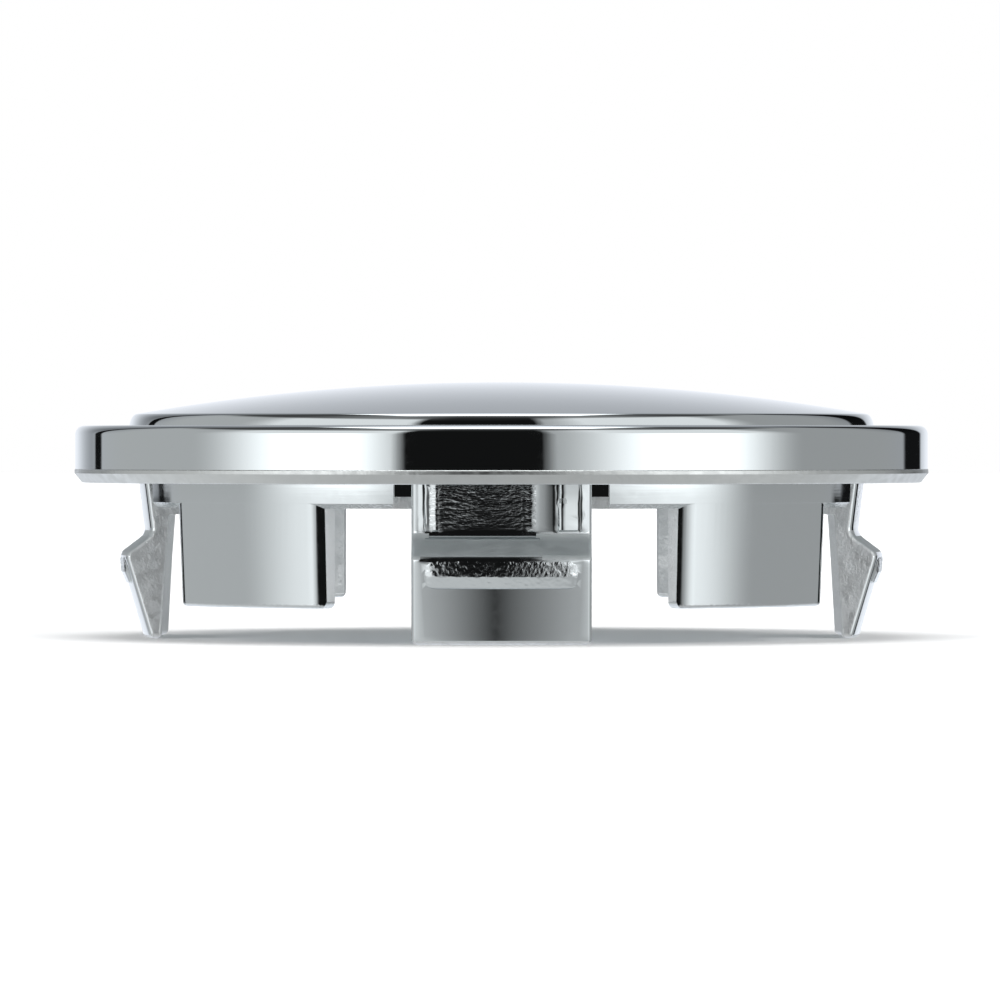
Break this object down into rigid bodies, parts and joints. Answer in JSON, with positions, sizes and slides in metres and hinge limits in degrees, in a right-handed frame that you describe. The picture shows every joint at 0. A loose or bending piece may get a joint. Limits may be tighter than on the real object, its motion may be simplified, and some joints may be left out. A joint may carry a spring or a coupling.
{
  "type": "wheel centre cap",
  "caption": "Round domed chrome-plated centre cap with a stepped flange, drafted guide tabs and barbed snap clips that push into the bore of a wheel.",
  "frame": {"origin": "on the axis of the cap, at the level of the clip tips it stands on", "axes": "+Z along the axis towards the dome; +X and +Y each run through the middle of a clip"},
  "size_m": [0.0632, 0.0632, 0.0188],
  "materials": {
    "chrome_plate": "polished"
  },
  "bodies": {
    "root": {"centre_cap": "chrome_plate"}
  },
  "joints": []
}
